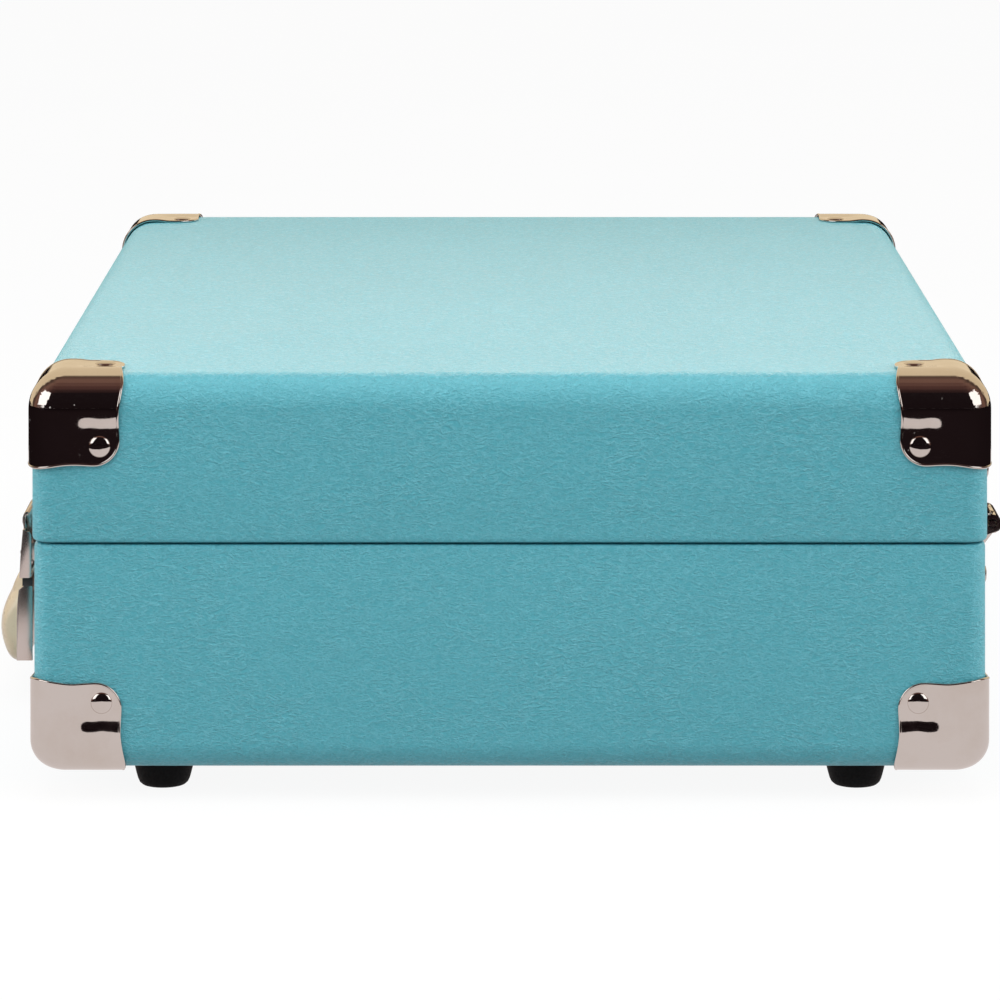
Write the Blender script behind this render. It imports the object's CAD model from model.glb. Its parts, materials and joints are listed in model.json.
import json
import math

import bmesh
import bpy
from mathutils import Matrix, Vector, noise

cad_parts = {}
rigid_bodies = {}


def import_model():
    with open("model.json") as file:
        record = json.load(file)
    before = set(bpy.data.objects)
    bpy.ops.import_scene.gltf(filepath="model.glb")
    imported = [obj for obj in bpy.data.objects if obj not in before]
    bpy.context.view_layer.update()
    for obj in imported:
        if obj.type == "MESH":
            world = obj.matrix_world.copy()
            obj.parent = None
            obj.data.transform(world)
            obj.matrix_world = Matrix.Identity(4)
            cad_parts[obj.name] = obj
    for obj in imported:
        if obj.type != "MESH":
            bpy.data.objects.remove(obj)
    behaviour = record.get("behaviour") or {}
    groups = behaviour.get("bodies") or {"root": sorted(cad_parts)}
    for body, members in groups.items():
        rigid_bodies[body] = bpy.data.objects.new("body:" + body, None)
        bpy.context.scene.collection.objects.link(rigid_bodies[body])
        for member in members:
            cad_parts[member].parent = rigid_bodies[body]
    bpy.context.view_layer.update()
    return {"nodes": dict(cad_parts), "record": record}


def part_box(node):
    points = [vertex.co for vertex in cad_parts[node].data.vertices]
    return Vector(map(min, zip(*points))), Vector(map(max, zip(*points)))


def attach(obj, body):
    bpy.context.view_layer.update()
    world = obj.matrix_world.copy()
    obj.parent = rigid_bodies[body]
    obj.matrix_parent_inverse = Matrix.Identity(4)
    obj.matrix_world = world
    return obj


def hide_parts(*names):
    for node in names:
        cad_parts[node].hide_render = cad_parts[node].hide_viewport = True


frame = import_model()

scene = bpy.context.scene
NODES = frame["nodes"]
MM = 0.001

# ------------------------------------------------------------------ dimensions taken from the CAD nodes (mm)
def mmbox(node):
    lo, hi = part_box(node)
    return [v / MM for v in lo], [v / MM for v in hi]


base_lo, base_hi = mmbox("base_case")
lid_lo, lid_hi = mmbox("lid_case")
CASE_Y = (lid_lo[1] + lid_hi[1]) / 2
FRONT, BACK = lid_lo[1], lid_hi[1]
LX, LY = (lid_hi[0] - lid_lo[0]) / 2, (lid_hi[1] - lid_lo[1]) / 2
BX, BY = (base_hi[0] - base_lo[0]) / 2, (base_hi[1] - base_lo[1]) / 2
LID_TOP, LID_LOW = lid_hi[2], lid_lo[2]
BASE_TOP, BASE_LOW = base_hi[2], base_lo[2]
SPLIT_Z = (LID_LOW + BASE_TOP) / 2
LID_ROLL, BASE_ROLL, EDGE_R = 9.5, 8.0, 6.0
LID_WALL, BASE_WALL = 5.0, 6.0
REACH, RIVET_AT, RIVET_R, GAP, PLATE_T = 24.6, 19.3, 3.1, 0.35, 0.8
DECK_TOP = mmbox("deck_plate")[1][2]


# ------------------------------------------------------------------ node material helpers
def new_material(name):
    mat = bpy.data.materials.new(name)
    mat.use_nodes = True
    tree = mat.node_tree
    tree.nodes.clear()
    out = tree.nodes.new("ShaderNodeOutputMaterial")
    shader = tree.nodes.new("ShaderNodeBsdfPrincipled")
    tree.links.new(shader.outputs[0], out.inputs[0])
    return mat, tree, shader


def coords(tree, scale=(1, 1, 1)):
    at = tree.nodes.new("ShaderNodeTexCoord")
    mapping = tree.nodes.new("ShaderNodeMapping")
    mapping.inputs["Scale"].default_value = scale
    tree.links.new(at.outputs["Object"], mapping.inputs["Vector"])
    return mapping.outputs[0]


def noise_tex(tree, vector, scale, detail=3.0, rough=0.55, distortion=0.0):
    tex = tree.nodes.new("ShaderNodeTexNoise")
    tex.inputs["Scale"].default_value = scale
    tex.inputs["Detail"].default_value = detail
    tex.inputs["Roughness"].default_value = rough
    tex.inputs["Distortion"].default_value = distortion
    tree.links.new(vector, tex.inputs["Vector"])
    return tex.outputs["Fac"]


def voronoi(tree, vector, scale, feature="DISTANCE_TO_EDGE", randomness=1.0):
    tex = tree.nodes.new("ShaderNodeTexVoronoi")
    tex.feature = feature
    tex.inputs["Scale"].default_value = scale
    tex.inputs["Randomness"].default_value = randomness
    tree.links.new(vector, tex.inputs["Vector"])
    return tex.outputs["Distance"]


def ramp(tree, fac, stops):
    node = tree.nodes.new("ShaderNodeValToRGB")
    elements = node.color_ramp.elements
    while len(elements) < len(stops):
        elements.new(0.5)
    for element, (pos, colour) in zip(elements, stops):
        element.position = pos
        element.color = (*colour, 1) if len(colour) == 3 else colour
    tree.links.new(fac, node.inputs[0])
    return node.outputs[0]


def grey(tree, fac, a, lo, b, hi):
    return ramp(tree, fac, [(a, (lo,) * 3), (b, (hi,) * 3)])


def maths(tree, op, a, b=None, clamp=False):
    node = tree.nodes.new("ShaderNodeMath")
    node.operation = op
    node.use_clamp = clamp
    for i, v in enumerate((a, b)):
        if v is None:
            continue
        if isinstance(v, (int, float)):
            node.inputs[i].default_value = v
        else:
            tree.links.new(v, node.inputs[i])
    return node.outputs[0]


def mix_colour(tree, fac, a, b, blend="MIX"):
    node = tree.nodes.new("ShaderNodeMix")
    node.data_type = "RGBA"
    node.blend_type = blend
    for socket, v in ((node.inputs[0], fac), (node.inputs[6], a), (node.inputs[7], b)):
        if isinstance(v, (int, float)):
            socket.default_value = v
        elif isinstance(v, tuple):
            socket.default_value = (*v, 1)
        else:
            tree.links.new(v, socket)
    return node.outputs[2]


def bump(tree, height, distance, strength=1.0, normal=None):
    node = tree.nodes.new("ShaderNodeBump")
    node.inputs["Distance"].default_value = distance
    node.inputs["Strength"].default_value = strength
    tree.links.new(height, node.inputs["Height"])
    if normal is not None:
        tree.links.new(normal, node.inputs["Normal"])
    return node.outputs[0]


def lin(r, g, b):
    """sRGB 0-255 to linear."""
    out = []
    for v in (r, g, b):
        v /= 255
        out.append(v / 12.92 if v <= 0.04045 else ((v + 0.055) / 1.055) ** 2.4)
    return tuple(out)


def leatherette(name, colour, crease=1.0):
    """Embossed vinyl: short fine wrinkles, longer across than up, over a very fine pebble."""
    mat, tree, shader = new_material(name)
    wide = coords(tree, (1.0, 1.0, 2.4))
    at = coords(tree)

    def wrinkles(vector, scale, warp, sharp):
        n = noise_tex(tree, vector, scale, 2.5, 0.5, warp)
        d = maths(tree, "ABSOLUTE", maths(tree, "SUBTRACT", n, 0.5))
        return maths(tree, "POWER", maths(tree, "SUBTRACT", 1.0, maths(tree, "MULTIPLY", d, 5.0), True), sharp)

    long_ones = wrinkles(wide, 265, 0.4, 6.0)
    short_ones = wrinkles(wide, 520, 0.3, 3.6)
    pebble = noise_tex(tree, coords(tree, (1.0, 1.0, 1.5)), 1200, 2, 0.5)
    where = grey(tree, noise_tex(tree, at, 60, 3, 0.6), 0.38, 0.45, 0.62, 1.0)
    height = maths(tree, "MULTIPLY", long_ones, where)
    height = maths(tree, "ADD", height, maths(tree, "MULTIPLY", short_ones, 0.55))
    height = maths(tree, "ADD", height, maths(tree, "MULTIPLY", pebble, 0.55))
    tree.links.new(bump(tree, height, 0.00022 * crease, 0.9), shader.inputs["Normal"])
    cloud = grey(tree, noise_tex(tree, at, 11, 3), 0.35, 0.0, 0.65, 1.0)
    tone = mix_colour(tree, cloud, tuple(c * 0.985 for c in colour), tuple(c * 1.01 for c in colour))
    valley = grey(tree, pebble, 0.34, 1.0, 0.56, 0.0)
    tone = mix_colour(tree, maths(tree, "MULTIPLY", valley, 0.30 * crease), tone, tuple(c * 0.66 for c in colour))
    ridge = maths(tree, "MULTIPLY", maths(tree, "ADD", maths(tree, "MULTIPLY", long_ones, where), maths(tree, "MULTIPLY", short_ones, 0.85)), 0.34 * crease)
    tone = mix_colour(tree, ridge, tone, tuple(min(1, c * 1.35 + 0.09) for c in colour))
    tree.links.new(tone, shader.inputs["Base Color"])
    tree.links.new(grey(tree, pebble, 0.3, 0.36, 0.7, 0.50), shader.inputs["Roughness"])
    shader.inputs["Specular IOR Level"].default_value = 0.5
    return mat


def metal(name, colour, rough=(0.05, 0.12), brushed=None, tarnish=0.25, scratch=0.00002, specks=0.0):
    """Plated or bare metal with faint haze, fine scratches and a little tarnish."""
    mat, tree, shader = new_material(name)
    at = coords(tree)
    haze = noise_tex(tree, at, 45, 5, 0.6)
    grain = noise_tex(tree, coords(tree, brushed) if brushed else at, 900, 4, 0.65)
    tree.links.new(grey(tree, maths(tree, "MULTIPLY", maths(tree, "ADD", haze, grain), 0.5), 0.3, rough[0], 0.7, rough[1]), shader.inputs["Roughness"])
    dull = tuple(c * (1 - tarnish * w) for c, w in zip(colour, (0.55, 0.75, 1.0)))
    tone = mix_colour(tree, grey(tree, haze, 0.42, 0.0, 0.75, 1.0), colour, dull)
    shader.inputs["Metallic"].default_value = 1.0
    if specks:
        # a few pinhead specks of dust, in about one cell in three
        cell = tree.nodes.new("ShaderNodeTexVoronoi")
        cell.inputs["Scale"].default_value = 250
        tree.links.new(at, cell.inputs["Vector"])
        pick = tree.nodes.new("ShaderNodeSeparateColor")
        tree.links.new(cell.outputs["Color"], pick.inputs[0])
        spot = maths(tree, "MULTIPLY", grey(tree, cell.outputs["Distance"], 0.045, 1.0, 0.085, 0.0), grey(tree, pick.outputs[0], 0.64, 0.0, 0.70, specks))
        tone = mix_colour(tree, spot, tone, (0.72, 0.69, 0.66))
        tree.links.new(maths(tree, "SUBTRACT", 1.0, spot), shader.inputs["Metallic"])
    tree.links.new(tone, shader.inputs["Base Color"])
    tree.links.new(bump(tree, maths(tree, "ADD", grain, maths(tree, "MULTIPLY", haze, 1.5)), scratch, 0.5), shader.inputs["Normal"])
    return mat


def plastic(name, colour, rough=(0.32, 0.5), grain=1400, depth=0.00003, coat=0.0, variation=0.12, shine=0.5):
    """Moulded plastic with a fine mould texture."""
    mat, tree, shader = new_material(name)
    at = coords(tree)
    fine = noise_tex(tree, at, grain, 3, 0.6)
    cloud = noise_tex(tree, at, 28, 4, 0.55)
    tree.links.new(grey(tree, fine, 0.35, rough[0], 0.65, rough[1]), shader.inputs["Roughness"])
    a = tuple(c * (1 - variation) for c in colour)
    b = tuple(min(1, c * (1 + variation)) for c in colour)
    tree.links.new(mix_colour(tree, grey(tree, cloud, 0.35, 0.0, 0.65, 1.0), a, b), shader.inputs["Base Color"])
    tree.links.new(bump(tree, fine, depth, 0.6), shader.inputs["Normal"])
    shader.inputs["Coat Weight"].default_value = coat
    shader.inputs["Specular IOR Level"].default_value = shine
    shader.inputs["Coat Roughness"].default_value = 0.15
    return mat


def cloth(name, colour, pitch=1100, depth=0.00012, sheen=0.2):
    """Woven or pressed fibre: crossed threads plus loose fuzz."""
    mat, tree, shader = new_material(name)
    at = coords(tree)
    waves = []
    for direction in ("X", "Y"):
        wave = tree.nodes.new("ShaderNodeTexWave")
        wave.bands_direction = direction
        wave.inputs["Scale"].default_value = pitch
        wave.inputs["Distortion"].default_value = 1.4
        tree.links.new(at, wave.inputs["Vector"])
        waves.append(wave.outputs["Fac"])
    weave = maths(tree, "MULTIPLY", waves[0], waves[1])
    fuzz = noise_tex(tree, at, 2200, 4, 0.7)
    height = maths(tree, "ADD", weave, fuzz)
    tree.links.new(bump(tree, height, depth, 0.8), shader.inputs["Normal"])
    a, b = tuple(c * 0.8 for c in colour), tuple(min(1, c * 1.15) for c in colour)
    tree.links.new(mix_colour(tree, grey(tree, fuzz, 0.35, 0.0, 0.65, 1.0), a, b), shader.inputs["Base Color"])
    tree.links.new(grey(tree, fuzz, 0.3, 0.82, 0.7, 0.96), shader.inputs["Roughness"])
    shader.inputs["Sheen Weight"].default_value = sheen
    return mat


def circuit_board(name):
    """Green solder mask with lighter tracks under it."""
    mat, tree, shader = new_material(name)
    at = coords(tree)
    tracks = tree.nodes.new("ShaderNodeTexBrick")
    tracks.inputs["Scale"].default_value = 160
    tracks.inputs["Mortar Size"].default_value = 0.035
    tracks.inputs["Color1"].default_value = (0.010, 0.090, 0.030, 1)
    tracks.inputs["Color2"].default_value = (0.012, 0.115, 0.040, 1)
    tracks.inputs["Mortar"].default_value = (0.05, 0.25, 0.09, 1)
    tree.links.new(at, tracks.inputs["Vector"])
    tree.links.new(tracks.outputs["Color"], shader.inputs["Base Color"])
    tree.links.new(bump(tree, tracks.outputs["Fac"], 0.00005, 0.6), shader.inputs["Normal"])
    tree.links.new(grey(tree, noise_tex(tree, at, 300), 0.3, 0.25, 0.7, 0.4), shader.inputs["Roughness"])
    return mat


TURQUOISE = lin(77, 165, 180)
MATS = {
    "leatherette": leatherette("leatherette", TURQUOISE),
    "deck": leatherette("deck_vinyl", tuple(c * 0.95 for c in TURQUOISE), 0.7),
    "chrome": metal("chrome", (0.68, 0.64, 0.605), (0.03, 0.085), tarnish=0.14, scratch=0.000006, specks=0.55),
    "nickel": metal("nickel", (0.68, 0.62, 0.585), (0.245, 0.275), (1, 1, 1), 0.10, 0.0000006),
    "steel": metal("steel", (0.58, 0.57, 0.56), (0.19, 0.24), (1, 1, 1), 0.15, 0.0000008),
    "aluminium": metal("aluminium", (0.80, 0.80, 0.80), (0.24, 0.30), (1, 1, 1), 0.1, 0.0000012),
    "brass": metal("brass", (0.78, 0.57, 0.27), (0.14, 0.28), None, 0.3),
    "cream_plastic": plastic("cream_plastic", lin(228, 208, 178), (0.26, 0.36), 700, 0.000004, 0.35, 0.03),
    "black_plastic": plastic("black_plastic", (0.021, 0.021, 0.022), (0.34, 0.50)),
    "red_plastic": plastic("red_plastic", (0.52, 0.028, 0.02), (0.25, 0.4)),
    "rubber": plastic("rubber", (0.006, 0.006, 0.0065), (0.6, 0.8), 1800, 0.00006, 0, 0.25, 0.12),
    "felt": cloth("felt", (0.030, 0.030, 0.032), 700, 0.0002, 0.5),
    "lining": cloth("lining", (0.74, 0.69, 0.60), 900, 0.00014, 0.15),
    "circuit_board": circuit_board("circuit_board"),
}
SLOTS = {row["node"]: row["material_slot"] for row in frame["record"]["subparts"]}
for node_name, node in NODES.items():
    node.data.materials.clear()
    node.data.materials.append(MATS[SLOTS[node_name]])


# ------------------------------------------------------------------ mesh helpers
def place(name, bm, slot_name, body, replaces=(), smooth=35, subdivide=0, material=None):
    bmesh.ops.remove_doubles(bm, verts=bm.verts, dist=2e-6)
    bmesh.ops.recalc_face_normals(bm, faces=bm.faces)
    mesh = bpy.data.meshes.new(name)
    bm.to_mesh(mesh)
    bm.free()
    mesh.materials.append(material or MATS[slot_name])
    mesh.shade_smooth()
    if smooth:
        mesh.set_sharp_from_angle(angle=math.radians(smooth))
    obj = bpy.data.objects.new(name, mesh)
    scene.collection.objects.link(obj)
    if subdivide:
        mod = obj.modifiers.new("smooth", "SUBSURF")
        mod.levels = mod.render_levels = subdivide
    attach(obj, body)
    if replaces:
        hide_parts(*replaces)
    return obj


def arc(cx, cy, r, a0, a1, n):
    return [
        (cx + r * math.cos(math.radians(a0 + (a1 - a0) * i / n)), cy + r * math.sin(math.radians(a0 + (a1 - a0) * i / n)))
        for i in range(n + 1)
    ]


def rounded(half_x, half_y, r, z, n=10, sides=24):
    """A rounded rectangle with its straight sides divided too, so that the surface can shade softly."""
    corners = []
    for sx, sy, start in ((1, 1, 0), (-1, 1, 90), (-1, -1, 180), (1, -1, 270)):
        corners.append(arc(sx * (half_x - r), CASE_Y + sy * (half_y - r), r, start, start + 90, n))
    points = []
    for i, corner in enumerate(corners):
        points += corner
        a, b = corner[-1], corners[(i + 1) % 4][0]
        points += [(a[0] + (b[0] - a[0]) * k / sides, a[1] + (b[1] - a[1]) * k / sides) for k in range(1, sides)]
    return [(x, y, z) for x, y in points]


def roll(half_x, half_y, r_roll, z_flat, direction, offset=0.0, n=12):
    rings = []
    for i in range(n + 1):
        t = math.radians(90 * i / n)
        inset = r_roll * (1 - math.sin(t))
        corner = (EDGE_R + offset) * (1 - 0.72 * inset / r_roll)
        z = z_flat - direction * (r_roll + offset) * (1 - math.cos(t)) + direction * offset
        shrink = (r_roll + offset) * (1 - math.sin(t)) - offset
        rings.append(rounded(half_x - shrink, half_y - shrink, corner, z))
    return rings


def loft(rings, caps=(True, True)):
    bm = bmesh.new()
    rows = [[bm.verts.new([v * MM for v in p]) for p in ring] for ring in rings]
    for a, b in zip(rows, rows[1:]):
        for i in range(len(a)):
            j = (i + 1) % len(a)
            bm.faces.new((a[i], a[j], b[j], b[i]))
    if caps[0]:
        bm.faces.new(rows[0])
    if caps[1]:
        bm.faces.new(rows[-1])
    return bm


# ------------------------------------------------------------------ case shells
base_rings = roll(BX, BY, BASE_ROLL, BASE_LOW, -1)
for inset, drop in ((0.0, 30), (0.0, 1.4), (0.10, 0.75), (0.34, 0.32), (0.75, 0.06), (1.2, 0.0)):
    base_rings.append(rounded(BX - inset, BY - inset, EDGE_R - inset, BASE_TOP - drop))
base_rings += [
    rounded(BX - BASE_WALL, BY - BASE_WALL, 3.0, BASE_TOP),
    rounded(BX - BASE_WALL, BY - BASE_WALL, 3.0, DECK_TOP - 2.85),
    rounded(BX - BASE_WALL - 4, BY - BASE_WALL - 4, 3.0, DECK_TOP - 2.85),
    rounded(BX - BASE_WALL - 4, BY - BASE_WALL - 4, 3.0, BASE_LOW + 5.0),
]
place("base_shell", loft(base_rings), "leatherette", "base", ["base_case"])

lid_rings = roll(LX, LY, LID_ROLL, LID_TOP, 1)
for inset, rise in ((0.0, 20), (0.0, 1.4), (0.10, 0.75), (0.34, 0.32), (0.75, 0.06), (1.2, 0.0)):
    lid_rings.append(rounded(LX - inset, LY - inset, EDGE_R - inset, LID_LOW + rise))
lid_rings += [
    rounded(LX - LID_WALL, LY - LID_WALL, 3.0, LID_LOW),
    rounded(LX - LID_WALL, LY - LID_WALL, 3.0, LID_TOP - LID_WALL),
]
place("lid_shell", loft(lid_rings), "leatherette", "lid", ["lid_case"])


# ------------------------------------------------------------------ more mesh helpers
def tidy(bm):
    bmesh.ops.remove_doubles(bm, verts=bm.verts, dist=2e-6)
    bmesh.ops.recalc_face_normals(bm, faces=bm.faces)


def evaluated(mesh, *modifiers):
    """A mesh with modifiers applied: each is (type, {setting: value})."""
    obj = bpy.data.objects.new("helper", mesh)
    scene.collection.objects.link(obj)
    for kind, settings in modifiers:
        mod = obj.modifiers.new(kind, kind)
        for key, value in settings.items():
            setattr(mod, key, value)
    bpy.context.view_layer.update()
    made = bpy.data.meshes.new_from_object(obj.evaluated_get(bpy.context.evaluated_depsgraph_get()))
    bpy.data.objects.remove(obj, do_unlink=True)
    return made


def to_mesh(bm, name="shape"):
    mesh = bpy.data.meshes.new(name)
    bm.to_mesh(mesh)
    bm.free()
    return mesh


def joined(*meshes):
    bm = bmesh.new()
    for mesh in meshes:
        bm.from_mesh(mesh)
    return bm


def lathe(profile, matrix, segments=64):
    """A (radius, height) profile in mm turned about its own Z, then placed by a matrix in metres."""
    bm = bmesh.new()
    rows = []
    for r, z in profile:
        if r < 1e-6:
            rows.append([bm.verts.new((0, 0, z * MM))])
        else:
            rows.append([
                bm.verts.new((r * MM * math.cos(2 * math.pi * i / segments), r * MM * math.sin(2 * math.pi * i / segments), z * MM))
                for i in range(segments)
            ])
    pairs = list(zip(rows, rows[1:]))
    if len(rows[0]) > 1 and len(rows[-1]) > 1:
        pairs.append((rows[-1], rows[0]))
    for a, b in pairs:
        for i in range(segments):
            j = (i + 1) % segments
            corners = [a[i % len(a)], a[j % len(a)], b[j % len(b)], b[i % len(b)]]
            unique = list(dict.fromkeys(corners))
            if len(unique) > 2:
                bm.faces.new(unique)
    bmesh.ops.transform(bm, matrix=matrix, verts=bm.verts)
    bmesh.ops.recalc_face_normals(bm, faces=bm.faces)
    return to_mesh(bm)


def at(x, y, z=0.0, axis="Z"):
    turn = {
        "Z": Matrix.Identity(4),
        "-Z": Matrix.Rotation(math.pi, 4, "X"),
        "X": Matrix.Rotation(math.pi / 2, 4, "Y"),
        "-X": Matrix.Rotation(-math.pi / 2, 4, "Y"),
        "Y": Matrix.Rotation(-math.pi / 2, 4, "X"),
        "-Y": Matrix.Rotation(math.pi / 2, 4, "X"),
    }[axis]
    return Matrix.Translation((x * MM, y * MM, z * MM)) @ turn


def sweep(points, radii, segments=20, closed=False, flat=1.0):
    """A round bar along points in mm, its radius changing from point to point."""
    pts = [Vector(p) * MM for p in points]
    n = len(pts)
    bm = bmesh.new()
    rings, normal = [], None
    for i, p in enumerate(pts):
        before = pts[i - 1] if (i or closed) else p
        after = pts[(i + 1) % n] if (i < n - 1 or closed) else p
        tangent = (after - before).normalized()
        if normal is None:
            normal = tangent.orthogonal().normalized()
        normal = (normal - tangent * normal.dot(tangent)).normalized()
        side = tangent.cross(normal)
        r = (radii[i] if isinstance(radii, (list, tuple)) else radii) * MM
        rings.append([
            bm.verts.new(p + normal * (r * math.cos(2 * math.pi * k / segments)) + side * (r * flat * math.sin(2 * math.pi * k / segments)))
            for k in range(segments)
        ])
    pairs = list(zip(rings, rings[1:]))
    if closed:
        pairs.append((rings[-1], rings[0]))
    for a, b in pairs:
        offset = 0
        if closed and a is rings[-1]:
            offset = min(range(segments), key=lambda k: (a[0].co - b[k].co).length)
        for k in range(segments):
            m = (k + 1) % segments
            bm.faces.new((a[k], a[m], b[(m + offset) % segments], b[(k + offset) % segments]))
    if not closed:
        bm.faces.new(rings[0])
        bm.faces.new(rings[-1])
    bmesh.ops.recalc_face_normals(bm, faces=bm.faces)
    return to_mesh(bm)


def block(lo, hi, bevel=0.3, segments=3):
    bm = bmesh.new()
    bmesh.ops.create_cube(bm, size=1.0)
    bmesh.ops.scale(bm, vec=[(b - a) * MM for a, b in zip(lo, hi)], verts=bm.verts)
    bmesh.ops.translate(bm, vec=[(a + b) / 2 * MM for a, b in zip(lo, hi)], verts=bm.verts)
    if bevel:
        bmesh.ops.bevel(bm, geom=bm.edges[:], offset=bevel * MM, segments=segments, profile=0.5, affect="EDGES")
    return to_mesh(bm)


def plate(outline, low, high, holes=(), bevel=0.0):
    """A flat outline with holes (mm), extruded in Z, edges softened."""
    curve = bpy.data.curves.new("outline", "CURVE")
    curve.dimensions, curve.fill_mode = "2D", "BOTH"
    curve.extrude = ((high - low) / 2 - bevel) * MM
    curve.bevel_depth, curve.bevel_resolution = bevel * MM, 2
    curve.offset = -bevel * MM
    for points in (outline, *holes):
        spline = curve.splines.new("POLY")
        spline.points.add(len(points) - 1)
        for point, (u, v) in zip(spline.points, points):
            point.co = (u * MM, v * MM, 0, 1)
        spline.use_cyclic_u = True
    mesh = evaluated(curve)
    mesh.transform(Matrix.Translation((0, 0, (low + high) / 2 * MM)))
    bm = joined(mesh)
    tidy(bm)
    return to_mesh(bm)


def circle(cx, cy, r, n=24):
    return [(cx + r * math.cos(2 * math.pi * i / n), cy + r * math.sin(2 * math.pi * i / n)) for i in range(n)]


def screw_head(matrix, r=2.3, h=1.0, turn=0.4):
    """A pan head with a cross recess."""
    head = lathe([(0, -0.3), (r, -0.3), (r, 0.12 * h), (r * 0.93, 0.5 * h), (r * 0.7, 0.85 * h), (r * 0.35, h), (0, h)], Matrix.Identity(4), 24)
    slots = []
    for k in (0, 1):
        cutter = block((-r * 0.62, -0.22, h * 0.45), (r * 0.62, 0.22, h + 1), 0)
        cutter.transform(Matrix.Rotation(turn + k * math.pi / 2, 4, "Z"))
        slots.append(cutter)
    tools = []
    for cutter in slots:
        other = bpy.data.objects.new("cutter", cutter)
        scene.collection.objects.link(other)
        tools.append(other)
    made = evaluated(head, *[("BOOLEAN", {"operation": "DIFFERENCE", "solver": "EXACT", "object": t}) for t in tools])
    for t in tools:
        bpy.data.objects.remove(t, do_unlink=True)
    made.transform(matrix)
    return made


def mirrored(mesh, sx=1, sy=1):
    copy = mesh.copy()
    copy.transform(Matrix.Translation((0, -CASE_Y * MM, 0)))
    copy.transform(Matrix.Diagonal((sx, sy, 1, 1)))
    copy.transform(Matrix.Translation((0, CASE_Y * MM, 0)))
    if sx * sy < 0:
        copy.flip_normals()
    return copy


def piece(name, meshes, slot_name, body, replaces=(), **more):
    return place(name, joined(*meshes), slot_name, body, replaces, **more)


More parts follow.
